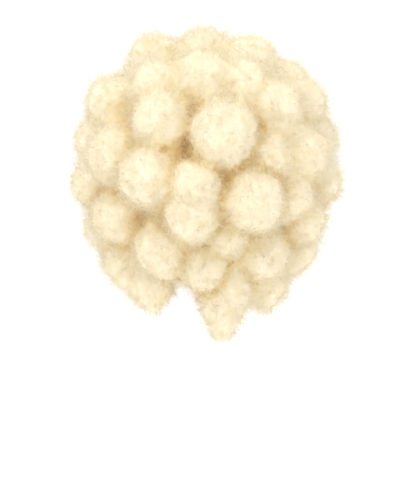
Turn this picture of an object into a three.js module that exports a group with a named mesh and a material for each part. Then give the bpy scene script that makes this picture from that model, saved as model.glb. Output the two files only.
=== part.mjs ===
// An afro wig: an open net cap with an elastic band inside its edge, and puffs of teased hair round it.
// Millimetres. +Z is up, +Y points where the wearer looks and +X to the wearer's right.
// The origin is the inside of the cap at the top of the head.
import * as THREE from "three";

// The head that the cap fits
const headBreadth = 156;
const headLength = 198;
const crownHeight = 105; // from the head's widest level up to its top
const chinDepth = 130; // from the widest level down to the chin

// The cap's edge, measured from the head's widest level
const napeDrop = 72;
const earArchDrop = 16;
const earTabDrop = 38;
const foreheadRise = 42;

// The cap's net and the elastic band
const capWall = 1.6;
const bandWidth = 12;
const bandWall = 1.2;
const clearance = 0.3;

// The outline of the hair, without the lock that hangs at the nape
const hairWidth = 354;
const hairDepth = 358;
const hairHeight = 364;
const hairAboveHead = 145; // from the top of the head to the top of the hair
const hairBehindHead = 108; // from the back of the head to the back of the hair

// The puffs
const puffRadius = 39;
const rootRadius = 31;
const tipRadius = 12; // where a puff tapers on below its ball
const rootInset = 9; // from the cap's edge up to the lowest roots
const rootSpread = 0.92; // how far down the cap a root sits, as a share of how far down its ball is
const lumpiness = 0.06; // how uneven a ball is, as a share of its radius
const rootFacet = 0.34; // the longest facet of a root, as a share of the way from the root to the ball
const neighbourReach = 4; // how far apart two balls are when they can't meet, in puffRadius
const leastShare = 0.25; // of the way between two balls that the smaller one keeps for itself

// How fine the solids are
const capSides = 36;
const capRings = 7; // above the band
const puffSides = 12;
const puffRings = [26, 52, 78, 104, 130, 153, 168]; // degrees from a ball's outer end
const tipRing = 10; // one ring more, nearer the end of a puff with a tail

// Each puff's ball: turn is the angle round the head from the back, positive to the wearer's right, and
// tilt the angle above the middle of the hair, both in degrees. size is a share of puffRadius, reach a
// share of the way out to the hair's outline, and tail how far below the ball's middle its tapered tip
// hangs, as a share of puffRadius.
const puffs = {
  crown: [
    { turn: -9, tilt: 74, size: 0.88, reach: 1.0 },
    { turn: -78, tilt: 62, size: 0.88, reach: 1.05 },
    { turn: 47, tilt: 60, size: 0.86, reach: 1.01 },
    { turn: 175, tilt: 75, size: 0.95, reach: 0.98 },
    { turn: 140, tilt: 51, size: 0.95, reach: 1.0 },
    { turn: -172, tilt: 49, size: 1.0, reach: 0.98 },
    { turn: -125, tilt: 47, size: 0.96, reach: 1.0 },
    { turn: 98, tilt: 68, size: 0.86, reach: 0.96 },
  ],
  upper_back: [
    { turn: -5, tilt: 47, size: 0.92, reach: 1.0 },
    { turn: -37, tilt: 40, size: 0.9, reach: 1.0 },
    { turn: 24, tilt: 41, size: 0.84, reach: 1.0 },
    { turn: -26, tilt: 20, size: 1.0, reach: 1.0 },
    { turn: 8, tilt: 12, size: 1.12, reach: 1.06 },
    { turn: 43, tilt: 27, size: 0.98, reach: 1.0 },
  ],
  back: [
    { turn: -32, tilt: -8, size: 1.06, reach: 1.01 },
    { turn: -6, tilt: -12, size: 0.8, reach: 1.0 },
    { turn: -8, tilt: -27, size: 0.88, reach: 1.0 },
    { turn: 24, tilt: -20, size: 1.05, reach: 1.02 },
    { turn: -57, tilt: 4, size: 0.95, reach: 1.0 },
    { turn: 58, tilt: 4, size: 1.0, reach: 1.0 },
    { turn: 34, tilt: 1, size: 0.86, reach: 0.9 },
  ],
  lower_back: [
    { turn: -67, tilt: -28, size: 0.95, reach: 1.0 },
    { turn: 72, tilt: -29, size: 0.92, reach: 1.0 },
    { turn: -38, tilt: -48, size: 0.96, reach: 1.0 },
    { turn: -2, tilt: -60, size: 0.84, reach: 1.03 },
    { turn: 52, tilt: -52, size: 0.98, reach: 1.0 },
    { turn: 14, tilt: -41, size: 0.8, reach: 0.88 },
  ],
  right_side: [
    { turn: 95, tilt: 46, size: 0.85, reach: 1.0 },
    { turn: 72, tilt: 31, size: 0.88, reach: 1.02 },
    { turn: 86, tilt: 13, size: 0.8, reach: 0.98 },
    { turn: 88, tilt: -8, size: 0.88, reach: 1.0 },
    { turn: 96, tilt: -42, size: 0.8, reach: 1.05, tail: 0.75 },
    { turn: 84, tilt: -64, size: 0.78, reach: 1.13, tail: 0.8 },
    { turn: 110, tilt: 22, size: 0.95, reach: 1.0 },
    { turn: 112, tilt: -9, size: 1.0, reach: 1.0 },
    { turn: 122, tilt: -36, size: 0.95, reach: 1.03 },
    { turn: 116, tilt: -57, size: 0.8, reach: 1.14, tail: 0.8 },
    { turn: 54, tilt: -18, size: 0.85, reach: 0.93 },
  ],
  left_side: [
    { turn: -72, tilt: 31, size: 0.92, reach: 1.05 },
    { turn: -86, tilt: 12, size: 0.82, reach: 1.01 },
    { turn: -84, tilt: -9, size: 0.84, reach: 1.03 },
    { turn: -94, tilt: -31, size: 0.8, reach: 1.05 },
    { turn: -84, tilt: -48, size: 0.8, reach: 1.1, tail: 0.8 },
    { turn: -74, tilt: -63, size: 0.78, reach: 1.13, tail: 0.8 },
    { turn: -110, tilt: 21, size: 0.95, reach: 1.0 },
    { turn: -111, tilt: -9, size: 1.0, reach: 1.0 },
    { turn: -122, tilt: -36, size: 0.93, reach: 1.03 },
    { turn: -115, tilt: -57, size: 0.78, reach: 1.14, tail: 0.8 },
    { turn: -97, tilt: 38, size: 0.85, reach: 0.93 },
  ],
  front: [
    { turn: 136, tilt: 22, size: 1.06, reach: 1.0 },
    { turn: 164, tilt: 24, size: 1.0, reach: 1.0 },
    { turn: -167, tilt: 23, size: 1.0, reach: 1.0 },
    { turn: -139, tilt: 21, size: 1.06, reach: 1.0 },
    { turn: 139, tilt: -11, size: 1.04, reach: 1.0 },
    { turn: 166, tilt: -4, size: 1.0, reach: 0.98 },
    { turn: -165, tilt: -5, size: 0.96, reach: 0.98 },
    { turn: -138, tilt: -12, size: 1.04, reach: 1.0 },
  ],
  nape: [{ turn: 17, tilt: -68, size: 0.88, reach: 1.16, tail: 1.4 }],
};

const { degToRad, clamp } = THREE.MathUtils;
const up = new THREE.Vector3(0, 0, 1);
const headCentre = new THREE.Vector3(0, 0, -crownHeight);
const hairCentre = new THREE.Vector3(
  0,
  hairDepth / 2 - hairBehindHead - headLength / 2,
  hairAboveHead - hairHeight / 2,
);

// The cap's edge from the nape round one ear to the forehead
const edgeRows = [
  { turn: 0, height: -napeDrop },
  { turn: 35, height: -0.92 * napeDrop },
  { turn: 62, height: -0.6 * napeDrop },
  { turn: 85, height: -earArchDrop },
  { turn: 105, height: -earTabDrop },
  { turn: 122, height: -0.3 * earTabDrop },
  { turn: 146, height: 0.7 * foreheadRise },
  { turn: 180, height: foreheadRise },
];
const edgeCurve = new THREE.CubicInterpolant(
  edgeRows.map((row) => row.turn),
  edgeRows.map((row) => row.height),
  1,
);
edgeCurve.settings = { endingStart: THREE.ZeroSlopeEnding, endingEnd: THREE.ZeroSlopeEnding };

// The egg-shaped head's half sizes, offset outwards; it is longer below its widest level than above
function headAxes(offset, isAbove) {
  const height = isAbove ? crownHeight : chinDepth;
  return new THREE.Vector3(headBreadth / 2, headLength / 2, height).addScalar(offset);
}

// A unit vector at an angle round the head from the back and an angle down from straight up, in radians
function direction(turn, down) {
  const flat = Math.sin(down);
  return new THREE.Vector3(flat * Math.sin(turn), -flat * Math.cos(turn), Math.cos(down));
}

function headPoint(turn, down, offset) {
  const way = direction(turn, down);
  return way.multiply(headAxes(offset, down <= Math.PI / 2)).add(headCentre);
}

// How far down the cap reaches at a turn, in radians from straight up
function edgeDown(turn) {
  const fromBack = Math.acos(clamp(Math.cos(turn), -1, 1));
  const [height] = edgeCurve.evaluate(THREE.MathUtils.radToDeg(fromBack));
  const share = height / (height > 0 ? crownHeight : chinDepth);
  return Math.acos(clamp(share, -1, 1));
}

// How far down a length along the head's surface reaches, in radians
function arc(length) {
  return (4 * length) / (headLength + 2 * crownHeight);
}

function meshOf(name, points, faces, material) {
  const geometry = new THREE.BufferGeometry().setFromPoints(points);
  geometry.setIndex(faces.flat());
  geometry.computeVertexNormals();
  const mesh = new THREE.Mesh(geometry, material);
  mesh.name = name;
  return mesh;
}

// The faces of rings of points that follow each other, each joined to the next by quads
function stripFaces(ringCount, sides, first = 0) {
  const faces = [];
  for (let ring = 0; ring < ringCount - 1; ring++)
    for (let side = 0; side < sides; side++) {
      const a = first + ring * sides + side;
      const b = first + ring * sides + ((side + 1) % sides);
      faces.push([a, a + sides, b], [b, a + sides, b + sides]);
    }
  return faces;
}

// A closed body of rings between two end points
function ringBody(name, start, rings, end, material) {
  const sides = rings[0].length;
  const points = [start, ...rings.flat(), end];
  const last = points.length - 1;
  const faces = stripFaces(rings.length, sides, 1);
  for (let side = 0; side < sides; side++) {
    const next = (side + 1) % sides;
    faces.push([0, 1 + side, 1 + next], [last, last - sides + next, last - sides + side]);
  }
  return meshOf(name, points, faces, material);
}

const turns = Array.from({ length: capSides }, (_, side) => (2 * Math.PI * side) / capSides);

function capRing(share, offset) {
  return turns.map((turn) => headPoint(turn, share * (edgeDown(turn) - arc(bandWidth)), offset));
}

function edgeRing(offset, above = 0) {
  return turns.map((turn) => headPoint(turn, edgeDown(turn) - arc(above), offset));
}

function netCap(material) {
  const shares = Array.from({ length: capRings }, (_, ring) => (ring + 1) / capRings);
  const outside = [...shares.map((share) => capRing(share, capWall)), edgeRing(capWall)];
  const inside = [...shares.map((share) => capRing(share, 0)), edgeRing(0)].reverse();
  const apex = headPoint(0, 0, capWall);
  return ringBody("net_cap", apex, [...outside, ...inside], headPoint(0, 0, 0), material);
}

function edgeBand(material) {
  const outer = -clearance;
  const inner = outer - bandWall;
  const outside = [edgeRing(outer), edgeRing(outer, bandWidth)];
  const inside = [edgeRing(inner, bandWidth), edgeRing(inner)];
  const points = [...outside, ...inside].flat();
  const ringCount = outside.length + inside.length;
  const strip = stripFaces(ringCount + 1, capSides);
  const faces = strip.map((face) => face.map((i) => i % points.length).reverse());
  return meshOf("edge_band", points, faces, material);
}

// How far off the head a puff is seated, so that the flat facets of its root clear the cap: they are
// longer on a puff that hangs further from its root
function seatOffset(stem) {
  const facet = rootFacet * stem;
  return capWall + clearance + (facet * facet) / (4 * headBreadth);
}

function layOut(puff) {
  const turn = degToRad(puff.turn);
  const down = degToRad(90 - puff.tilt);
  const radius = puff.size * puffRadius;
  const half = new THREE.Vector3(hairWidth / 2, hairDepth / 2, hairHeight / 2).addScalar(-radius);
  const centre = direction(turn, down).multiply(half).multiplyScalar(puff.reach).add(hairCentre);
  const fromHead = centre.clone().sub(headCentre);
  const rootTurn = Math.atan2(fromHead.x, -fromHead.y);
  const rootDown = Math.min(rootSpread * fromHead.angleTo(up), edgeDown(rootTurn) - arc(rootInset));
  const seat = seatOffset(centre.distanceTo(headPoint(rootTurn, rootDown, capWall)));
  const root = headPoint(rootTurn, rootDown, seat);
  const tip = centre.clone();
  if (puff.tail) tip.z -= puff.tail * puffRadius;
  return { centre, radius, seat, root, tip };
}

// How far a ball that tapers to a smaller one reaches from its centre along a unit vector
function taperReach(radius, way, toEnd, endRadius) {
  const length = toEnd.length();
  const narrowing = (radius - endRadius) / length;
  const along = way.dot(toEnd) / length;
  if (narrowing >= 1 || along <= narrowing) return radius;
  const onCone = radius / Math.sin(Math.acos(clamp(along, -1, 1)) + Math.asin(narrowing));
  if (onCone * along <= length + endRadius * narrowing) return onCone;
  const across = length * length * (1 - along * along);
  return length * along + Math.sqrt(Math.max(0, endRadius * endRadius - across));
}

// How far it is from a point outside the head along a unit vector to an offset of the head
function headReach(from, way, offset) {
  for (const isAbove of [true, false]) {
    const axes = headAxes(offset, isAbove);
    const start = from.clone().sub(headCentre).divide(axes);
    const step = way.clone().divide(axes);
    const towards = -start.dot(step);
    const root = towards * towards - step.lengthSq() * (start.lengthSq() - 1);
    if (root < 0 || towards < 0) continue;
    const reach = (towards - Math.sqrt(root)) / step.lengthSq();
    if (from.z + reach * way.z >= headCentre.z === isAbove) return reach;
  }
  return Infinity;
}

// The planes that keep a puff apart from its neighbours: each passes between two balls and two roots
function dividers(puff, all) {
  const limit = neighbourReach * puffRadius;
  const near = all.filter((other) => other.centre.distanceTo(puff.centre) < limit);
  const others = near.filter((other) => other !== puff);
  return others.map((other) => {
    const across = other.centre.clone().sub(puff.centre);
    const share = (across.lengthSq() + puff.radius ** 2 - other.radius ** 2) / (2 * across.lengthSq());
    const between = puff.centre.clone().lerp(other.centre, clamp(share, leastShare, 1 - leastShare));
    const fromRoots = between.clone().sub(puff.root.clone().lerp(other.root, 0.5)).normalize();
    const normal = across.addScaledVector(fromRoots, -across.dot(fromRoots)).normalize();
    return { normal, reach: between.sub(puff.centre).dot(normal) - clearance / 2 };
  });
}

function puffBody(name, puff, all, number, material) {
  const outwards = puff.tip.clone().sub(puff.root).normalize();
  const sideways = up.clone().cross(outwards).normalize();
  const crossways = outwards.clone().cross(sideways);
  const toRoot = puff.root.clone().sub(puff.centre);
  const toTip = puff.tip.clone().sub(puff.centre);
  const planes = dividers(puff, all);

  function surfacePoint(fromEnd, round) {
    const way = outwards.clone().multiplyScalar(Math.cos(fromEnd));
    way.addScaledVector(sideways, Math.sin(fromEnd) * Math.cos(round));
    way.addScaledVector(crossways, Math.sin(fromEnd) * Math.sin(round));
    const wave = Math.sin(2 * round + number) + Math.sin(3 * round - 2 * number);
    const lump = 1 + (lumpiness / 2) * Math.sin(fromEnd) * wave;
    const toBall = taperReach(puff.radius, way, toRoot, rootRadius);
    const toTail = toTip.length() > 0 ? taperReach(puff.radius, way, toTip, tipRadius) : 0;
    let reach = Math.min(lump * Math.max(toBall, toTail), headReach(puff.centre, way, puff.seat));
    for (const plane of planes) {
      const facing = way.dot(plane.normal);
      if (facing > 0) reach = Math.min(reach, plane.reach / facing);
    }
    return way.multiplyScalar(reach).add(puff.centre);
  }

  const ringDegrees = toTip.length() > 0 ? [tipRing, ...puffRings] : puffRings;
  const rings = ringDegrees.map((degrees) =>
    Array.from({ length: puffSides }, (_, side) =>
      surfacePoint(degToRad(degrees), (2 * Math.PI * side) / puffSides),
    ),
  );
  return ringBody(name, surfacePoint(0, 0), rings, surfacePoint(Math.PI, 0), material);
}

const hair = new THREE.MeshStandardMaterial({ color: 0xf7e6c2, roughness: 0.9 });
const net = new THREE.MeshStandardMaterial({ color: 0xd9c49a, roughness: 0.85 });
const elastic = new THREE.MeshStandardMaterial({ color: 0xe6d8b8, roughness: 0.7 });

const wig = new THREE.Group();
wig.add(netCap(net), edgeBand(elastic));

function puffName(region, i) {
  return region === "nape" ? "nape_lock" : `${region}_puff_${i + 1}`;
}

const laidOut = Object.entries(puffs).flatMap(([region, rows]) =>
  rows.map((row, i) => ({ name: puffName(region, i), ...layOut(row) })),
);
laidOut.forEach((puff, i) => wig.add(puffBody(puff.name, puff, laidOut, i, hair)));

export default wig;
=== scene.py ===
# %% [markdown]
# A pale blond afro wig. The real wig is a stretchy net cap, and all round it the hair is teased into
# balls, so it looks like a heap of cotton wool. A ball of teased hair has no hard skin: what the eye
# reads is thousands of fine curls over a soft body. So each ball gets a smooth body that follows its
# solid in the frame, and a coat of real curls on it. A plain bumpy surface would look like clay, and a
# hair system can't be exported, so the curls are narrow ribbons of mesh.

# %% Load the frame
import math

import bpy
import numpy as np
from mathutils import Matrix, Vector, noise
from mathutils.bvhtree import BVHTree


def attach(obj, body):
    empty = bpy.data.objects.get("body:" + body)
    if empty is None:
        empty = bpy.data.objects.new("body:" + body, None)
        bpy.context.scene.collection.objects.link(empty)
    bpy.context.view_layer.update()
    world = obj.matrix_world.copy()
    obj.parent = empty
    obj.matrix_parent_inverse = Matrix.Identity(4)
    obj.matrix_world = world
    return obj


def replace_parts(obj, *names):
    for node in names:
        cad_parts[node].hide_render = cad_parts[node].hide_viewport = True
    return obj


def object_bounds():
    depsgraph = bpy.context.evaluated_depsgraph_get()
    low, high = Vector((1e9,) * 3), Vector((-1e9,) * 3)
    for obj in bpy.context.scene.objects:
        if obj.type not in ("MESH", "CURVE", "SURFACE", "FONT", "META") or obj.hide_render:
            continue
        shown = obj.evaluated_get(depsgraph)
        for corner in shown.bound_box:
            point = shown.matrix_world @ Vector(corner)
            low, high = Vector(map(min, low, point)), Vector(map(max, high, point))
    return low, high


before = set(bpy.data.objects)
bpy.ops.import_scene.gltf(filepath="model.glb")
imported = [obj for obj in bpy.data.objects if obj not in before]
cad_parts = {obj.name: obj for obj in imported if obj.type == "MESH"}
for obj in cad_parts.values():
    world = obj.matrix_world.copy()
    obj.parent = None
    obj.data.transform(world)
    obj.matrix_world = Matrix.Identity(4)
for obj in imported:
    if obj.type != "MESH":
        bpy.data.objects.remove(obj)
cad_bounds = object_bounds()
MM = 0.001
print("frame box", cad_bounds)


def in_scene(name, data):
    """A new object in the scene."""
    thing = bpy.data.objects.new(name, data)
    bpy.context.scene.collection.objects.link(thing)
    return thing


# %% [markdown]
# The picture is taken level, from straight behind and from a few steps away. A long lens keeps the balls
# at the rim of the wig as large as those in the middle. The lens is worked out from what the picture's
# height spans at the wig, so that the object keeps its real size.

# %% Camera
CAMERA_DISTANCE = 2400 * MM
PICTURE_MIDDLE = -146 * MM  # below the top of the head
PICTURE_SPAN = 661 * MM  # from the picture's bottom edge to its top edge, at the wig

camera = in_scene("camera", bpy.data.cameras.new("camera"))
camera.location = (0, -CAMERA_DISTANCE, PICTURE_MIDDLE)
camera.rotation_euler = (math.radians(90), 0, 0)
camera.data.sensor_fit = "VERTICAL"
camera.data.angle = 2 * math.atan(PICTURE_SPAN / 2 / CAMERA_DISTANCE)
bpy.context.scene.camera = camera
print("lens", round(camera.data.lens, 1), "mm")

# %% [markdown]
# The wig is held up as a head would hold it, so it stands clear of the floor. The floor is a wide shallow
# dish: flat in the middle and curving up at its rim, which leaves no horizon from any side.

# %% Floor
FLOOR_DROP = 250 * MM  # from the wig's lowest point down to the floor
FLOOR_RADIUS = 4.0
RIM_RADIUS = 6.0
RIM_HEIGHT = 1.7
RIM_STEPS = 16
FLOOR_SIDES = 96
FLOOR_COLOUR = (0.95, 0.95, 0.95)
FLOOR_ROUGHNESS = 0.9


def plain_material(name, roughness, colour=(0.8, 0.8, 0.8)):
    """A material of one colour. Without one it keeps the shader's own grey."""
    material = bpy.data.materials.new(name)
    material.use_nodes = True
    shader = material.node_tree.nodes["Principled BSDF"]
    shader.inputs["Base Color"].default_value = (*colour, 1)
    shader.inputs["Roughness"].default_value = roughness
    return material


def make_floor():
    ground = cad_bounds[0][2] - FLOOR_DROP
    rises = np.linspace(0, math.pi / 2, RIM_STEPS)
    radii = [FLOOR_RADIUS, *(FLOOR_RADIUS + (RIM_RADIUS - FLOOR_RADIUS) * np.sin(rises[1:]))]
    heights = [0, *(RIM_HEIGHT * (1 - np.cos(rises[1:])))]
    turns = np.linspace(0, 2 * math.pi, FLOOR_SIDES, endpoint=False)
    points = [(0, 0, ground)]
    for radius, height in zip(radii, heights):
        points += [(radius * math.cos(t), radius * math.sin(t), ground + height) for t in turns]
    faces = [(0, 1 + i, 1 + (i + 1) % FLOOR_SIDES) for i in range(FLOOR_SIDES)]
    for ring in range(len(radii) - 1):
        for i in range(FLOOR_SIDES):
            a = 1 + ring * FLOOR_SIDES + i
            b = 1 + ring * FLOOR_SIDES + (i + 1) % FLOOR_SIDES
            faces.append((a, a + FLOOR_SIDES, b + FLOOR_SIDES, b))
    mesh = bpy.data.meshes.new("floor")
    mesh.from_pydata(points, [], faces)
    mesh.shade_smooth()
    mesh.materials.append(plain_material("matt white floor", FLOOR_ROUGHNESS, FLOOR_COLOUR))
    floor = in_scene("floor", mesh)


make_floor()

# %% [markdown]
# The light is that of a white studio: an even white surround, and a large soft lamp high up behind the
# wig and another in front of it. The lamps make the tops of the balls brighter than their undersides.
# Small hard lamps would draw sharp shadows between the curls. Pale curls pass light on many times, so
# more bounces are allowed than Blender allows by itself.

# %% Light
SURROUND = 1.19
LAMP_SIZE = 2.2
LAMPS = {  # the power and the place of each
    "back lamp": (40, (-0.9, -2.3, 2.9)),
    "front lamp": (30, (0.9, 2.3, 2.9)),
}
MATT_BOUNCES = 10
ALL_BOUNCES = 14

world = bpy.data.worlds.new("white surround")
world.use_nodes = True
world.node_tree.nodes["Background"].inputs["Color"].default_value = (1, 1, 1, 1)
world.node_tree.nodes["Background"].inputs["Strength"].default_value = SURROUND
bpy.context.scene.world = world

for name, (power, place) in LAMPS.items():
    lamp = in_scene(name, bpy.data.lights.new(name, "AREA"))
    lamp.data.energy = power
    lamp.data.size = LAMP_SIZE
    lamp.location = place
    aim = Vector((0, 0, PICTURE_MIDDLE)) - lamp.location
    lamp.rotation_euler = aim.to_track_quat("-Z", "Y").to_euler()

bpy.context.scene.view_settings.view_transform = "Standard"
bpy.context.scene.cycles.diffuse_bounces = MATT_BOUNCES
bpy.context.scene.cycles.max_bounces = ALL_BOUNCES

# %% [markdown]
# The hair is a matt synthetic fibre, nearly white. Light that goes from curl to curl before it comes out
# turns golden, so the creases between the balls are warm and the balls' tops are pale, and this shade is
# painted into the colour as well. The material mixes two ramps over a map of its own: across the map runs
# the painted shade from the creases to the tops, and up it the way from a curl's root to its tip, which
# ends paler as painted light where the fine tips let light through. Each curl picks its place on the map,
# so one material gives every curl its own shade. A fibre also lets light through, so the curls mix a
# translucent shader in. The packed hair under them doesn't.

# %% Hair material
TONE_MAP = "OFBake"
# Painted shade: the low stops are golden and dark for the creases, the top stops are the hair's own pale
# colour.
PAINTED_SHADE_RAMP = [
    (0.0, (0.66, 0.42, 0.12)),
    (0.35, (0.92, 0.71, 0.31)),
    (0.7, (0.955, 0.86, 0.58)),
    (1.0, (0.955, 0.90, 0.77)),
]
# Painted light: curls grow paler towards their tips, where fine hair lets light through. On the bodies the
# same mix makes random streaks.
TIP_LIGHT_AND_STREAK_COLOUR = (0.955, 0.91, 0.79)
TIP_LIGHT_AND_STREAK_SHARE = 0.35  # how far a curl's colour has gone to that of its tip, at the tip
THROUGH = 0.45  # the share of its light that a fibre lets through
FIBRE = {"Roughness": 0.75, "Specular IOR Level": 0.25, "Sheen Weight": 0.25, "Sheen Roughness": 0.5}


def colour_ramp(tree, stops):
    """A ramp with a colour at each of the places given."""
    ramp = tree.nodes.new("ShaderNodeValToRGB")
    for place, _ in stops[1:-1]:
        ramp.color_ramp.elements.new(place)
    for element, (place, colour) in zip(ramp.color_ramp.elements, stops):
        element.position = place
        element.color = (*colour, 1)
    return ramp


def mapped_colour(tree):
    """The colour of each place on the tone map, with the painted shade across it and paler tips up it."""
    tone_map = tree.nodes.new("ShaderNodeUVMap")
    tone_map.uv_map = TONE_MAP
    split = tree.nodes.new("ShaderNodeSeparateXYZ")
    ramp = colour_ramp(tree, PAINTED_SHADE_RAMP)
    # Painted light: up the map the colour goes towards the paler tip colour.
    paler = tree.nodes.new("ShaderNodeMath")
    paler.operation = "MULTIPLY"
    paler.inputs[1].default_value = TIP_LIGHT_AND_STREAK_SHARE
    mix = tree.nodes.new("ShaderNodeMix")
    mix.data_type = "RGBA"
    mix.inputs["B"].default_value = (*TIP_LIGHT_AND_STREAK_COLOUR, 1)
    tree.links.new(tone_map.outputs["UV"], split.inputs[0])
    tree.links.new(split.outputs["X"], ramp.inputs["Fac"])
    tree.links.new(split.outputs["Y"], paler.inputs[0])
    tree.links.new(paler.outputs[0], mix.inputs["Factor"])
    tree.links.new(ramp.outputs["Color"], mix.inputs["A"])
    return mix.outputs["Result"]


def hair_material(name, through_share):
    """Hair in the colours of the tone map, with their painted shade, that lets a share of its light through.
    """
    material = bpy.data.materials.new(name)
    material.use_nodes = True
    tree = material.node_tree
    colour = mapped_colour(tree)
    shader = tree.nodes["Principled BSDF"]
    for socket, value in FIBRE.items():
        shader.inputs[socket].default_value = value
    through = tree.nodes.new("ShaderNodeBsdfTranslucent")
    both = tree.nodes.new("ShaderNodeMixShader")
    both.inputs["Fac"].default_value = through_share
    tree.links.new(colour, shader.inputs["Base Color"])
    tree.links.new(colour, through.inputs["Color"])
    tree.links.new(shader.outputs[0], both.inputs[1])
    tree.links.new(through.outputs[0], both.inputs[2])
    tree.links.new(both.outputs[0], tree.nodes["Material Output"].inputs["Surface"])
    return material


curl_hair = hair_material("teased curls", THROUGH)
packed_hair = hair_material("packed hair", 0)

# %% [markdown]
# The steps that follow swell, press and even out whole bodies of hair. Modifiers could do parts of that,
# but each step works on all the points of a body at once. So a form is kept as arrays of points and
# triangles, with the few things that are done to it.

# %% Forms
WELD = 0.01 * MM  # points nearer than this are one
TINY = 1e-9  # keeps a vector of no length from being divided by nothing


def unit(vectors):
    """The vectors' directions, each of length one."""
    return vectors / np.maximum(np.linalg.norm(vectors, axis=-1, keepdims=True), TINY)


class Form:
    """A closed form, held as arrays of points, directions and triangles."""

    def __init__(self, points, triangles):
        self.points = np.asarray(points, float)
        self.triangles = np.asarray(triangles)
        self.move(0)

    def facing(self):
        """Twice the area of each triangle, along its direction."""
        corners = self.points[self.triangles]
        return np.cross(corners[:, 1] - corners[:, 0], corners[:, 2] - corners[:, 0])

    def move(self, steps):
        """Moves the points, and works out anew which way each one faces."""
        self.points = self.points + steps
        self.normals = np.zeros_like(self.points)
        for corner in range(3):
            np.add.at(self.normals, self.triangles[:, corner], self.facing())
        self.normals = unit(self.normals)

    def swell(self, amounts):
        """Moves each point the way it faces."""
        self.move(self.normals * np.reshape(amounts, (-1, 1)))

    def evened(self, values, rounds=1):
        """The values after each has become the mean of its neighbours', once or for more rounds."""
        here, beside = self.triangles.ravel(), np.roll(self.triangles, 1, axis=1).ravel()
        shared = np.maximum(np.bincount(here, minlength=len(values)), 1)
        columns = np.reshape(values, (len(values), -1)).T
        for _ in range(rounds):
            columns = [np.bincount(here, column[beside], len(values)) / shared for column in columns]
        return np.reshape(np.transpose(columns), np.shape(values))

    def tree(self):
        """The form made ready for rays and for finding the nearest point."""
        return BVHTree.FromPolygons(self.points.tolist(), self.triangles.tolist())

    def mesh(self):
        mesh = bpy.data.meshes.new("coarse")
        mesh.from_pydata(self.points.tolist(), [], self.triangles.tolist())
        return mesh


def form_of(mesh):
    mesh.calc_loop_triangles()
    points = np.empty((len(mesh.vertices), 3), np.float32)
    triangles = np.empty((len(mesh.loop_triangles), 3), np.int32)
    mesh.vertices.foreach_get("co", points.ravel())
    mesh.loop_triangles.foreach_get("vertices", triangles.ravel())
    _, first, welded = np.unique(np.round(points / WELD), axis=0, return_index=True, return_inverse=True)
    return Form(points[first], welded.ravel()[triangles])


# %% [markdown]
# Each ball's body starts from its solid in the frame. The solid has flat facets, so a copy is remeshed
# with small even cells and smoothed, which rounds it.

# %% Soft bodies
CELL = 6 * MM
SMOOTHING = 5  # rounds


def remeshed(mesh, cell, rounds):
    """The outer skin of a mesh, made of small even cells and smoothed. The mesh itself is used up."""
    copy = in_scene("copy", mesh)
    remesh = copy.modifiers.new("remesh", "REMESH")
    remesh.mode = "VOXEL"
    remesh.voxel_size = cell
    smooth = copy.modifiers.new("smooth", "SMOOTH")
    smooth.iterations = rounds
    even = copy.evaluated_get(bpy.context.evaluated_depsgraph_get())
    form = form_of(even.to_mesh())
    even.to_mesh_clear()
    bpy.data.meshes.remove(mesh)
    return form


hair_nodes = sorted(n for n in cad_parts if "puff" in n or "lock" in n)
cap_form = form_of(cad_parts["net_cap"].data)
bodies = {node: remeshed(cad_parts[node].data.copy(), CELL, SMOOTHING) for node in hair_nodes}
print(len(bodies), "bodies with", sum(len(b.triangles) for b in bodies.values()), "triangles")

# %% [markdown]
# On the real wig the balls press against each other. So each body first swells towards its neighbours: a
# ray from each point finds the gap to the next body, and each of the two takes half of it. A few bodies
# at the back are a little plumper than their solids.

# %% Bodies that meet
REACH = 40 * MM  # bodies whose boxes are further apart than this don't meet
WIDEST_GAP = 40 * MM
MOST_SWELL = 13 * MM
SWELL_ROUNDS = 3
PLUMP = {"back_puff_4": 4 * MM, "back_puff_2": 2 * MM, "back_puff_3": 3 * MM, "nape_lock": 4 * MM}


def box_gap(a, b):
    """The widest gap between two forms' boxes, along any of the three axes."""
    low = np.maximum(a.points.min(0), b.points.min(0))
    high = np.minimum(a.points.max(0), b.points.max(0))
    return float(np.maximum(low - high, 0).max())


def neighbours(node):
    """The bodies that are near enough to meet this one."""
    return [n for n in bodies if n != node and box_gap(bodies[node], bodies[n]) < REACH]


def joined(forms):
    """Several forms as one, with their triangles in the same order."""
    firsts = np.cumsum([0, *(len(form.points) for form in forms)])
    triangles = [form.triangles + first for form, first in zip(forms, firsts)]
    return Form(np.concatenate([form.points for form in forms]), np.concatenate(triangles))


def towards_neighbours(node):
    """How far each point of a body goes to meet the next body."""
    body = bodies[node]
    others = joined([bodies[n] for n in neighbours(node)]).tree()
    gaps = [others.ray_cast(Vector(p), Vector(n), WIDEST_GAP)[3] for p, n in zip(body.points, body.normals)]
    return body.evened(np.array([min(gap / 2, MOST_SWELL) if gap else 0 for gap in gaps]), SWELL_ROUNDS)


swells = {node: towards_neighbours(node) for node in bodies}
for node, amounts in swells.items():
    bodies[node].swell(amounts + PLUMP.get(node, 0))
print("bodies swell by up to", round(max(a.max() for a in swells.values()) / MM, 1), "mm")

# %% [markdown]
# The balls aren't all told apart alike. Two were combed tight and keep a sharp groove round them, and most
# of those at the back have a plain one. One pair has run together, and the upper row runs softly into the
# crown. Everywhere else loose hair hides most of the groove.

# %% How firmly the balls are told apart
def puffs(row, *numbers):
    """The names of some of a row's balls."""
    return {f"{row}_puff_{number}" for number in numbers}


TIGHT = puffs("upper_back", 5) | puffs("back", 4)
FIRM = puffs("upper_back", 4) | puffs("back", 1, 2, 3) | puffs("lower_back", 1, 2, 3, 4, 5)
ONE = puffs("back", 2, 3)
UPPER_ROW = puffs("upper_back", 1, 2, 3)


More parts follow.
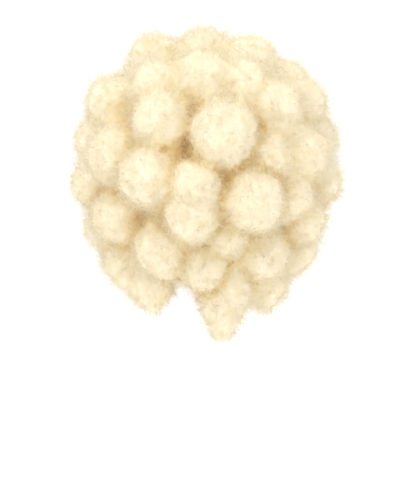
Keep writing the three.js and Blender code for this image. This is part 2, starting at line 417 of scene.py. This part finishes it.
def firmness(a, b):
    """How firmly two balls are told apart."""
    upper = a in UPPER_ROW or b in UPPER_ROW
    if {a, b} == ONE or upper and ("crown" in a or "crown" in b):
        return "one"
    if upper:
        return "soft"
    return "tight" if {a, b} & TIGHT else "firm" if {a, b} & FIRM else "soft"


# %% [markdown]
# Loose hair bridges the grooves between the balls, so all of them together get one outer skin. It's made
# as a plasterer fills a groove: the bodies swell by the radius of a finger, one skin is made round them,
# and it's drawn back in by as much. A thick shell of hair round the cap closes the holes between the
# balls. Drawing back can turn a narrow fold inside out, so the skin is made anew at the end.

# %% One skin over all the balls
FINGERS = {"soft": 8 * MM, "firm": 4 * MM, "tight": 2 * MM, "one": 9 * MM}
FINGER_ROUNDS = 2
ROOT_HAIR = 52 * MM  # how far loose hair stands off the cap between the balls' stems
RIM_HAIR = 40 * MM  # and how far at the cap's rim
RIM_RISE = 110 * MM  # the height over which the one becomes the other
CAP_CLEARANCE = 6 * MM  # from the cap's inner face out to the hair
DRAW_STEPS = 2
EASE_PARTS = 3  # after a step, each point goes one of so many parts of the way to its neighbours' middle
SKIN_CELL = 3.5 * MM


def owners(points, forms):
    """For each point, the number of the form that is nearest to it."""
    tree = joined(forms).tree()
    numbers = np.repeat(np.arange(len(forms)), [len(form.triangles) for form in forms])
    return numbers[[tree.find_nearest(Vector(point))[2] for point in points]]


def finger(node):
    """The radius of the finger that fills the grooves round a ball."""
    if node in ONE | UPPER_ROW:
        return FINGERS["one"]
    return FINGERS["tight" if node in TIGHT else "firm" if node in FIRM else "soft"]


def root_hair():
    """A thick shell round the cap, which closes the holes between the balls."""
    outer = ((cap_form.points - cap_form.points.mean(0)) * cap_form.normals).sum(1) > 0
    heights = cap_form.points[:, 2] - cap_form.points[:, 2].min()
    rise = np.interp(heights, [0, RIM_RISE], [RIM_HAIR, ROOT_HAIR])
    rise = np.where(outer, rise, -CAP_CLEARANCE)[:, None]
    return Form(cap_form.points + cap_form.normals * rise, cap_form.triangles)


def outer_skin(form):
    """What can be touched of a form from outside, without folds or forms inside it."""
    return remeshed(form.mesh(), SKIN_CELL, 1)


def one_skin():
    """The skin round all the balls, drawn back in by each ball's own finger."""
    swollen = [Form(body.points + body.normals * finger(node), body.triangles)
               for node, body in bodies.items()]
    skin = outer_skin(joined([*swollen, root_hair()]))
    fingers = np.array([finger(node) for node in bodies])
    back = skin.evened(fingers[owners(skin.points, swollen)], FINGER_ROUNDS)
    for _ in range(DRAW_STEPS):
        skin.swell(-back / DRAW_STEPS)
        skin.move((skin.evened(skin.points) - skin.points) / EASE_PARTS)
    return outer_skin(skin)


skin = one_skin()
print("skin with", len(skin.triangles), "triangles")

# %% [markdown]
# Then the creases are pressed in. Where two balls meet, the skin is about as far from the one as from the
# other, and it's pressed in the deeper, the more firmly the two are told apart. Last come soft lumps. A
# wave that is turned up wherever it goes below zero gives round lumps with narrow valleys between them,
# as clumps of hair have.

# %% Creases and lumps
# For each firmness, the depth of a crease, and how much nearer its own ball a point is where it ends.
CREASES = {"soft": (1.5 * MM, 8 * MM), "firm": (7 * MM, 5 * MM), "tight": (10 * MM, 4.5 * MM), "one": (0, 1)}
CREASE_CURVE = 1.3
LUMPS = [(34 * MM, 1.5 * MM), (14 * MM, 1.0 * MM)]  # the size and the height of each
LUMP_GAIN = 2
VALLEY = 0.5  # how far a valley goes below the skin, as a share of a lump's height
FULLNESS = 2 * MM  # makes up for what the smoothing takes off


def crease_depths(skin):
    """The depth of the crease at each point, from how much nearer its own ball is than the next one."""
    owner = owners(skin.points, list(bodies.values()))
    depths = np.zeros(len(skin.points))
    for number, node in enumerate(hair_nodes):
        near = neighbours(node)
        names = np.repeat(near, [len(bodies[n].triangles) for n in near])
        own, others = bodies[node].tree(), joined([bodies[n] for n in near]).tree()
        for i in np.flatnonzero(owner == number):
            point = Vector(skin.points[i])
            _, _, face, far = others.find_nearest(point)
            deep, wide = CREASES[firmness(node, names[face])]
            depths[i] = deep * max(0, 1 - (far - own.find_nearest(point)[3]) / wide) ** CREASE_CURVE
    return skin.evened(depths)


def lumps(points, size, height):
    """How far each point goes in or out for lumps of one size."""
    waves = np.array([abs(noise.noise(Vector(point) / size)) for point in points])
    return height * (waves * LUMP_GAIN - VALLEY)


skin_creases = crease_depths(skin)
skin.swell(-skin_creases)
skin.swell(sum(lumps(skin.points, size, height) for size, height in LUMPS) + FULLNESS)
skin_owner = owners(skin.points[skin.triangles].mean(1), list(bodies.values()))
print("creases up to", round(skin_creases.max() / MM, 1), "mm deep")

# %% [markdown]
# Each ball's body is its own share of that skin, set a little below it to leave room for the curls. It's
# closed by a cone that runs from its border to the ball's middle, as a slice of an orange is. So two
# neighbours meet without a gap, and each is still a solid of its own.

# %% A ball's share of the skin
INSET = 3 * MM


def share_of_skin(number, middle):
    """The points of a ball's body with their numbers in the skin, and its triangles."""
    own = skin.triangles[skin_owner == number]
    edges = np.concatenate([own[:, [0, 1]], own[:, [1, 2]], own[:, [2, 0]]])
    codes = edges @ [len(skin.points), 1]
    twins = edges @ [1, len(skin.points)]
    border = edges[~np.isin(codes, twins)]
    used = np.unique(own)
    triangles = np.searchsorted(used, own)
    cone = np.searchsorted(used, border[:, ::-1])
    cone = np.column_stack([cone, np.full(len(cone), len(used))])
    points = np.concatenate([(skin.points - skin.normals * INSET)[used], [middle]])
    return points, used, np.concatenate([triangles, cone])


# %% [markdown]
# How much of the sky a point of the skin sees gives two things: the painted shade, golden in the creases
# and pale in the open, and whether a curl there would be seen at all. It's found by sending a fan of rays
# from each point, and counting those that get past the other balls and the cap. A pressed crease is
# narrower than the rays can tell, so it darkens the painted shade further by itself.

# %% Painted shade
SIGHT = 90 * MM
RAY_START = 1.5 * MM
RAYS = 20
RAY_SPREAD = 0.98  # below 1, so that every ray leaves the skin
# The sky seen and the depth of each crease set the painted shade, darker where less sky is seen.
TONE_LOW = 0.25
TONE_HIGH = 0.88
CREASE_PAINTED_SHADE = 0.9  # how far the deepest crease goes down to the darkest tone
GOLDEN_TURN = math.pi * (3 - math.sqrt(5))


def even_sphere(count):
    """Directions spread evenly all round."""
    heights = 1 - 2 * (np.arange(count) + 0.5) / count
    flat = np.sqrt(1 - heights**2)
    turns = GOLDEN_TURN * np.arange(count)
    return np.stack([flat * np.cos(turns), flat * np.sin(turns), heights], -1)


def open_share(form, cover):
    """The share of its sky that each point of a form sees."""
    starts = form.points + form.normals * RAY_START
    seen = np.zeros(len(starts))
    for way in even_sphere(RAYS):
        ways = unit(form.normals + RAY_SPREAD * way)
        seen += [cover.ray_cast(Vector(p), Vector(w), SIGHT)[0] is None for p, w in zip(starts, ways)]
    return form.evened(seen / RAYS)


def painted_shade_of(shares):
    """Painted shade, from 0 in the dark to 1 in the open, with a soft start and a soft end."""
    level = np.clip((shares - TONE_LOW) / (TONE_HIGH - TONE_LOW), 0, 1)
    return level * level * (3 - 2 * level)


skin_open = open_share(skin, joined([skin, cap_form]).tree())
# Painted shade: less sky and a deeper crease make the skin darker and more golden.
skin_painted_shade = painted_shade_of(skin_open) * (1 - CREASE_PAINTED_SHADE * skin_creases / skin_creases.max())
print("sky seen by the skin, on average", round(skin_open.mean(), 2))

# %% [markdown]
# One curl is a ribbon that bends round an axis as it goes, and narrows to a point. All the curls of a
# ball are worked out at once with arrays, because a loop over so many would take minutes. The ribbons
# lie with their flat side outwards, and they are shaded with the ball's own direction more than with
# theirs, so that the coat stays soft and doesn't sparkle.

# %% Curls
SOFTNESS = 0.85  # how much of a curl's shading comes from the ball under it
TWIST = 0.45  # radians, how far a ribbon is turned about its own length
NARROWING = 0.45  # of its width that a curl loses before its pointed tip
MAP_MARGIN = 0.008  # half of a curl's width on the tone map


def turned(vectors, axes, angles):
    """Each vector turned about its axis."""
    c, s = np.cos(angles)[:, None], np.sin(angles)[:, None]
    along = (vectors * axes).sum(-1, keepdims=True)
    return vectors * c + np.cross(axes, vectors) * s + axes * along * (1 - c)


def curls(rng, roots, outwards, headings, axes, lengths, bends, widths, tones, steps):
    """Ribbons from their roots on: their points, directions and map places, with one point at each tip."""
    count = len(roots)
    step = (lengths / steps)[:, None]
    twist = rng.normal(0, TWIST, count)
    place = roots.copy()
    points, normals, places = [], [], []
    for i in range(steps):
        way = turned(headings, axes, bends * i / steps)
        side = turned(unit(np.cross(way, outwards)), way, twist)
        half = side * (widths * (1 - NARROWING * i / steps) / 2)[:, None]
        facing = unit(SOFTNESS * outwards + (1 - SOFTNESS) * np.cross(side, way))
        for sign in (-1, 1):
            points.append(place + sign * half)
            normals.append(facing)
            places.append(np.stack([tones + MAP_MARGIN * sign, np.full(count, i / steps)], -1))
        place = place + way * step
    points.append(place)
    normals.append(outwards)
    places.append(np.stack([tones, np.ones(count)], -1))
    return np.stack(points, 1), np.stack(normals, 1), np.stack(places, 1)


def curl_faces(count, steps):
    """The quads along so many curls, and the triangles at their tips."""
    first = (np.arange(count) * (2 * steps + 1))[:, None, None]
    quads = np.array([[2 * i, 2 * i + 1, 2 * i + 3, 2 * i + 2] for i in range(steps - 1)])
    tips = np.array([[2 * steps - 2, 2 * steps - 1, 2 * steps]])
    return (first + quads).reshape(-1, 4), (first + tips).reshape(-1, 3)


# %% [markdown]
# The coat has three kinds of curl. Felt hugs the body and covers it. Frizz rises from it in open spirals.
# A few strays go further out. For each kind, share is its part of all the curls, and steps is how finely
# a curl is made. In mm, long is its length, width its width and deep how far its root lies under the
# skin. In degrees, rise is how steeply it leaves the skin and bend how far it turns on its way. And cling
# is how far it gives way to the tuft that it stands in.

# %% Kinds of curl
KINDS = {
    "felt": dict(share=0.3, steps=2, cling=0,
                 long=(9, 16), width=0.7, deep=(1, 3), rise=(0, 25), bend=(60, 170)),
    "frizz": dict(share=0.6, steps=5, cling=0.5,
                  long=(14, 26), width=0.4, deep=(0, 3), rise=(5, 45), bend=(240, 620)),
    "stray": dict(share=0.1, steps=7, cling=0.4,
                  long=(18, 32), width=0.28, deep=(0, 2), rise=(15, 60), bend=(300, 800)),
}
COAT_TRIANGLES = 760_000
LEAST_OPEN = 0.06  # of its sky that a place must see to get a curl

skin_areas = np.linalg.norm(skin.facing(), axis=1) / 2 * (skin_open[skin.triangles].mean(1) > LEAST_OPEN)
curl_triangles = sum(kind["share"] * (2 * kind["steps"] - 1) for kind in KINDS.values())
curls_per_area = COAT_TRIANGLES / curl_triangles / skin_areas.sum()
print("curls per square mm", round(curls_per_area * MM**2, 3))


def spots(rng, number):
    """Random places on a ball's share of the skin: points, directions and painted shades."""
    own = np.flatnonzero((skin_owner == number) & (skin_areas > 0))
    areas = skin_areas[own]
    count = int(areas.sum() * curls_per_area)
    picked = skin.triangles[rng.choice(own, count, p=areas / areas.sum())]
    a, b = rng.random(count), rng.random(count)
    over = a + b > 1
    a[over], b[over] = 1 - a[over], 1 - b[over]
    mix = np.stack([1 - a - b, a, b], -1)
    points = (skin.points[picked] * mix[:, :, None]).sum(1)
    normals = unit((skin.normals[picked] * mix[:, :, None]).sum(1))
    return points, normals, (skin_painted_shade[picked] * mix).sum(1)


# %% [markdown]
# Teased hair clings together in tufts, and these break the outline of the wig into wisps. So tufts are set
# all over a ball, and frizz and strays lean towards the tip of the nearest one.

# %% Tufts
TUFT_PLACES = 400  # of a ball's spots, among which the tufts are picked
TUFT_GAP = 15 * MM
TUFT_HEIGHTS = (5 * MM, 13 * MM)
TUFT_LEAN = 0.3


def tufts(rng, points, normals):
    """Feet and tips of tufts, spread over the places given."""
    feet = []
    for i in rng.permutation(len(points)):
        if all(np.linalg.norm(points[i] - points[j]) > TUFT_GAP for j in feet):
            feet.append(i)
    lean = unit(normals[feet] + rng.normal(0, TUFT_LEAN, (len(feet), 3)))
    return points[feet], points[feet] + lean * rng.uniform(*TUFT_HEIGHTS, (len(feet), 1))


# %% [markdown]
# Each curl sets out along the skin, roughly away from the ball's middle, climbs by its rise and gives way
# to its tuft. Then it bends to the left or to the right, round an axis that stands nearly straight out.
# The wig is trimmed round, so a curl that would reach too far past the frame's box is left out.

# %% Coat
TUFT_REACH = 13 * MM  # from a tuft's foot to where curls no longer give way to it
TUFT_STRETCH = 0.4  # how much longer a curl in the middle of a tuft is
FLOW_SPREAD = 0.5
HEADING_SPREAD = 1.3  # radians
AXIS_SPREAD = 0.45  # how far a curl's axis strays from straight out
WIDTH_SCATTER = (0.8, 1.2)
TONE_SCATTER = 0.16
# The curls' places across the map carry painted shade: dark golden in the deepest crease, pale in the open.
CURL_TONE = 0.04  # where a curl is on the map in the deepest crease
CURL_TONE_SPAN = 0.92  # and how much further it is in the open
TONE_ENDS = (0.02, 0.98)
TRIM_SHARE = 0.03  # how far past the frame's box a curl may reach, as a share of each side
TRIM_MARGIN = 8 * MM  # and this much more

low, high = np.array(cad_bounds)
trim_low = low - TRIM_MARGIN - TRIM_SHARE * (high - low)
trim_high = high + TRIM_MARGIN + TRIM_SHARE * (high - low)


def coat(rng, number, middle):
    """The curls of one ball, kind by kind: points, directions, map places and steps."""
    points, normals, tones = spots(rng, number)
    feet, tips = tufts(rng, points[:TUFT_PLACES], normals[:TUFT_PLACES])
    away = unit(points - middle)
    kinds = rng.choice(len(KINDS), len(points), p=[k["share"] for k in KINDS.values()])
    batches = []
    for which, kind in enumerate(KINDS.values()):
        mine = kinds == which
        n = int(mine.sum())
        p, out = points[mine], normals[mine]
        flow = unit(np.cross(out, np.cross(away[mine] + rng.normal(0, FLOW_SPREAD, (n, 3)), out)))
        level = turned(flow, out, rng.normal(0, HEADING_SPREAD, n))
        rise = np.radians(rng.uniform(*kind["rise"], n))[:, None]
        spans = np.linalg.norm(p[:, None] - feet[None], axis=2)
        cling = kind["cling"] * np.clip(1 - spans.min(1) / TUFT_REACH, 0, 1)[:, None]
        to_tip = unit(tips[spans.argmin(1)] - p)
        own_way = level * np.cos(rise) + out * np.sin(rise)
        heading = unit(own_way * (1 - cling) + to_tip * cling)
        axis = unit(rng.choice([-1, 1], (n, 1)) * out + rng.normal(0, AXIS_SPREAD, (n, 3)))
        lengths = rng.uniform(*kind["long"], n) * MM * (1 + TUFT_STRETCH * cling[:, 0])
        bends = np.radians(rng.uniform(*kind["bend"], n))
        # Painted shade from the skin under the curl, with a random scatter of its own.
        tone = CURL_TONE + CURL_TONE_SPAN * tones[mine] + rng.normal(0, TONE_SCATTER, n)
        tone = np.clip(tone, *TONE_ENDS)
        widths = kind["width"] * MM * rng.uniform(*WIDTH_SCATTER, n)
        roots = p - out * rng.uniform(*kind["deep"], (n, 1)) * MM
        batch = curls(rng, roots, out, heading, axis, lengths, bends, widths, tone, kind["steps"])
        inside = ((batch[0] > trim_low) & (batch[0] < trim_high)).all((1, 2))
        batches.append((*(part[inside] for part in batch), kind["steps"]))
    return batches


# %% [markdown]
# A ball's body and its coat become one mesh, because on the real wig they are the same hair. The points of
# the body carry the skin's painted shade, darker in the creases, and go up and down the tone map, so that
# its colour is as uneven as that of the curls.

# %% Joined mesh
# Painted shade on the body, as on the curls: dark golden in the deepest crease, pale in the open.
BODY_TONE = 0.03  # where a body is on the map in the deepest crease
BODY_TONE_SPAN = 0.9  # and how much further it is in the open
STREAK = 2.4
STREAK_MIDDLE = 0.5
STREAK_SWING = 0.45


def mesh_of(name, points, normals, quads, triangles, places):
    """A mesh that is shaded with the directions given, and lies on the tone map."""
    mesh = bpy.data.meshes.new(name)
    mesh.vertices.add(len(points))
    mesh.vertices.foreach_set("co", points.astype(np.float32).ravel())
    corners = np.concatenate([quads.ravel(), triangles.ravel()]).astype(np.int32)
    mesh.loops.add(len(corners))
    mesh.loops.foreach_set("vertex_index", corners)
    mesh.polygons.add(len(quads) + len(triangles))
    starts = np.concatenate([np.arange(len(quads)) * 4, len(quads) * 4 + np.arange(len(triangles)) * 3])
    mesh.polygons.foreach_set("loop_start", starts.astype(np.int32))
    mesh.update(calc_edges=True)
    layer = mesh.uv_layers.new(name=TONE_MAP)
    layer.data.foreach_set("uv", places[corners].astype(np.float32).ravel())
    layer.active_render = True
    mesh.shade_smooth()
    mesh.normals_split_custom_set_from_vertices(normals)
    return mesh


def dressed(name, number, middle, batches):
    """A ball's body and its curls as one mesh. The body's triangles come right after the curls' quads."""
    body, used, body_triangles = share_of_skin(number, middle)
    # The body's points take the painted shade of the skin, and its hidden middle the darkest.
    tones = BODY_TONE + BODY_TONE_SPAN * np.append(skin_painted_shade[used], 0)
    streaks = STREAK_MIDDLE + STREAK_SWING * np.sin(np.arange(len(body)) * STREAK)
    points, normals, places = [body], [skin.normals[used], [(0, 0, 1)]], [np.stack([tones, streaks], -1)]
    quads, triangles = [], [body_triangles]
    first = len(body)
    for p, n, m, steps in batches:
        four, three = curl_faces(len(p), steps)
        quads.append(four + first)
        triangles.append(three + first)
        first += p.shape[0] * p.shape[1]
        points.append(p.reshape(-1, 3))
        normals.append(n.reshape(-1, 3))
        places.append(m.reshape(-1, 2))
    whole = [np.concatenate(parts) for parts in (points, normals, quads, triangles, places)]
    mesh = mesh_of(name, *whole)
    mesh.materials.append(curl_hair)
    mesh.materials.append(packed_hair)
    materials = np.zeros(len(mesh.polygons), np.int32)
    start = len(whole[2])
    materials[start:start + len(body_triangles)] = 1
    mesh.polygons.foreach_set("material_index", materials)
    return mesh


# %% [markdown]
# Every node of hair in the frame gets its piece. A ball's random numbers start from the ball's own number,
# so the wig comes out the same each time.

# %% Hair
pieces = []


def add_piece(name, mesh):
    """A piece that rides on the root body."""
    piece = in_scene(name, mesh)
    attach(piece, "root")
    pieces.append(piece)
    return piece


def triangle_count():
    return sum(len(piece.data.loops) - 2 * len(piece.data.polygons) for piece in pieces)


for number, (node, body) in enumerate(bodies.items()):
    middle = body.points.mean(0)
    mesh = dressed(node + "_hair", number, middle, coat(np.random.default_rng(number), number, middle))
    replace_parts(add_piece(node + "_hair", mesh), node)
print("hair triangles", triangle_count())

# %% [markdown]
# Loose frizz hangs from the whole edge of the cap. It's longest at the nape, where it shows on both sides
# of the hanging lock. These curls are planted along the cap's lowest ring of points.

# %% Frizz along the edge
EDGE_STEP = math.radians(10)  # round the head, from one point of the edge to the next
EDGE_CURLS = 2600
EDGE_STEPS = 7
EDGE_LENGTHS = (14 * MM, 34 * MM)
EDGE_WIDTHS = (0.3, 0.5)  # mm
EDGE_BENDS = (90, 330)  # degrees
EDGE_LEAN = (-0.1, 0.6)  # outwards, where hanging straight down is 0
EDGE_SCATTER = 0.45
EDGE_DEPTH = 9 * MM  # how far the roots are spread up and out from the edge
EDGE_OUT = (0.2, 1)  # the shares of that depth, outwards
EDGE_TONE = (0.45, 0.95)
NAPE_STRETCH = 0.7  # how much longer the frizz is at the nape
NAPE_FOCUS = 3  # the higher, the shorter the part of the edge that counts as nape


def cap_edge():
    """Azimuths and places of the cap's lowest points, all the way round."""
    azimuths = np.arctan2(cap_form.points[:, 1], cap_form.points[:, 0])
    edge = {}
    for i in np.argsort(-cap_form.points[:, 2]):
        edge[round(azimuths[i] / EDGE_STEP)] = i
    order = sorted(edge.values(), key=lambda i: azimuths[i])
    return azimuths[order], cap_form.points[order]


def edge_frizz():
    rng = np.random.default_rng(len(bodies))
    azimuths, places = cap_edge()
    turn = rng.uniform(-math.pi, math.pi, EDGE_CURLS)
    roots = np.stack([np.interp(turn, azimuths, column, period=2 * math.pi) for column in places.T], -1)
    out = np.stack([np.cos(turn), np.sin(turn), np.zeros(EDGE_CURLS)], -1)
    roots = roots + out * rng.uniform(*EDGE_OUT, (EDGE_CURLS, 1)) * EDGE_DEPTH
    roots[:, 2] += rng.uniform(0, 1, EDGE_CURLS) * EDGE_DEPTH
    heading = np.array([0, 0, -1]) + out * rng.uniform(*EDGE_LEAN, (EDGE_CURLS, 1))
    heading = unit(heading + rng.normal(0, EDGE_SCATTER, out.shape))
    axis = unit(rng.normal(0, 1, out.shape) + out)
    nape = np.clip(-np.sin(turn), 0, 1) ** NAPE_FOCUS
    lengths = rng.uniform(*EDGE_LENGTHS, EDGE_CURLS) * (1 + NAPE_STRETCH * nape)
    bends = np.radians(rng.uniform(*EDGE_BENDS, EDGE_CURLS)) * rng.choice([-1, 1], EDGE_CURLS)
    widths = rng.uniform(*EDGE_WIDTHS, EDGE_CURLS) * MM
    tones = rng.uniform(*EDGE_TONE, EDGE_CURLS)
    batch = curls(rng, roots, out, heading, axis, lengths, bends, widths, tones, EDGE_STEPS)
    points, normals, places = (part.reshape(-1, part.shape[-1]) for part in batch)
    mesh = mesh_of("edge_frizz", points, normals, *curl_faces(EDGE_CURLS, EDGE_STEPS), places)
    mesh.materials.append(curl_hair)
    return mesh


add_piece("edge_frizz", edge_frizz())

# %% [markdown]
# The cap and the band show from below and from the front. Their threads are too fine to cut through, so
# they are bump and colour. Both patterns run round the head, so they are drawn by the angle round it and
# by the height, and need no map of their own.

# %% Patterns round the head
THREAD_HEIGHT = 0.4 * MM


class Nodes:
    """Adds maths to a material, with one call for each step."""

    def __init__(self, name, roughness):
        self.material = plain_material(name, roughness)
        self.tree = self.material.node_tree
        self.shader = self.tree.nodes["Principled BSDF"]
        place = self.tree.nodes.new("ShaderNodeTexCoord")
        split = self.tree.nodes.new("ShaderNodeSeparateXYZ")
        self.tree.links.new(place.outputs["Object"], split.inputs[0])
        self.height = split.outputs["Z"]
        self.angle = self.maths("ARCTAN2", split.outputs["Y"], split.outputs["X"])

    def maths(self, operation, *values):
        node = self.tree.nodes.new("ShaderNodeMath")
        node.operation = operation
        for socket, value in zip(node.inputs, values):
            if isinstance(value, bpy.types.NodeSocket):
                self.tree.links.new(value, socket)
            else:
                socket.default_value = value
        return node.outputs[0]

    def wave(self, value):
        """From 0 in the middle of a thread to 1 between two threads."""
        return self.maths("ABSOLUTE", self.maths("SINE", value))

    def finish(self, level, colours):
        """Colours and bump from a level between 0 and 1. The lower places get the darker colour, which is
        painted shade.
        """
        ramp = colour_ramp(self.tree, colours)
        bump = self.tree.nodes.new("ShaderNodeBump")
        bump.inputs["Distance"].default_value = THREAD_HEIGHT
        self.tree.links.new(level, ramp.inputs["Fac"])
        self.tree.links.new(level, bump.inputs["Height"])
        self.tree.links.new(ramp.outputs["Color"], self.shader.inputs["Base Color"])
        self.tree.links.new(bump.outputs["Normal"], self.shader.inputs["Normal"])
        return self.material


# %% [markdown]
# The cap is a stretchy knitted net with rows of tape, on which the hair is sewn. Threads that wind up
# round the head one way cross others that wind up the other way, which gives diamonds. The tapes run
# level over them, at even steps of height.

# %% Knitted net
NET_TURNS = 110  # diamonds of the net round the head
NET_HEIGHT = 5 * MM
THREAD_SHARPNESS = 3
TAPE_STEP = 15 * MM  # from one row of tape to the next
TAPE_EDGE = 0.3  # the level of the wave between two rows at which the tape ends
# The gaps between the threads get the darker colour: painted shade. Threads and tape are the cap's own
# colour.
NET_COLOURS_AND_GAP_SHADE = [(0.1, (0.50, 0.38, 0.22)), (0.9, (0.80, 0.69, 0.48))]
NET_ROUGHNESS = 0.8


def net_material():
    net = Nodes("knitted cap net", NET_ROUGHNESS)
    round_head = net.maths("MULTIPLY", net.angle, NET_TURNS / 2)
    up = net.maths("MULTIPLY", net.height, math.pi / NET_HEIGHT)
    rising = net.wave(net.maths("ADD", round_head, up))
    falling = net.wave(net.maths("SUBTRACT", round_head, up))
    threads = net.maths("SUBTRACT", 1, net.maths("MINIMUM", rising, falling))
    between = net.maths("ADD", net.height, TAPE_STEP / 2)
    tape = net.wave(net.maths("MULTIPLY", between, math.pi / TAPE_STEP))
    tape = net.maths("LESS_THAN", tape, TAPE_EDGE)
    level = net.maths("MAXIMUM", net.maths("POWER", threads, THREAD_SHARPNESS), tape)
    return net.finish(level, NET_COLOURS_AND_GAP_SHADE)


# %% [markdown]
# The band is woven elastic. Fine ribs run along it, and each rib is a little lower wherever the weave
# crosses it.

# %% Woven elastic
RIB_STEP = 1.5 * MM
RIB_TURNS = 420
WEAVE_LEAST = 0.6  # of a rib's height that is left where the weave dips
# The lower places of the weave get the darker colour: painted shade. The higher ones have the band's own
# colour.
ELASTIC_COLOURS_AND_DIP_SHADE = [(0.0, (0.62, 0.52, 0.36)), (0.8, (0.84, 0.76, 0.60))]
ELASTIC_ROUGHNESS = 0.7


def elastic_material():
    band = Nodes("woven elastic", ELASTIC_ROUGHNESS)
    ribs = band.wave(band.maths("MULTIPLY", band.height, math.pi / RIB_STEP))
    weave = band.wave(band.maths("MULTIPLY", band.angle, RIB_TURNS / 2))
    weave = band.maths("ADD", WEAVE_LEAST, band.maths("MULTIPLY", weave, 1 - WEAVE_LEAST))
    return band.finish(band.maths("MULTIPLY", ribs, weave), ELASTIC_COLOURS_AND_DIP_SHADE)


# %% [markdown]
# The cap and the band take their shape from the frame. It has flat facets, which would show beside such
# fine threads, so a copy is subdivided, which smooths them.

# %% Cap and band
SMOOTH_LEVELS = 2


def smoothed(node, material):
    """A node's own shape from the frame, with its facets smoothed."""
    mesh = form_of(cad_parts[node].data).mesh()
    copy = in_scene("copy", mesh)
    copy.modifiers.new("smooth", "SUBSURF").levels = SMOOTH_LEVELS
    fine = bpy.data.meshes.new_from_object(copy.evaluated_get(bpy.context.evaluated_depsgraph_get()))
    bpy.data.meshes.remove(mesh)
    fine.shade_smooth()
    fine.materials.clear()
    fine.materials.append(material)
    return fine


knit = add_piece("net_cap_knit", smoothed("net_cap", net_material()))
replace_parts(knit, "net_cap")
elastic = add_piece("edge_band_elastic", smoothed("edge_band", elastic_material()))
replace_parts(elastic, "edge_band")
print("triangles in all", triangle_count())
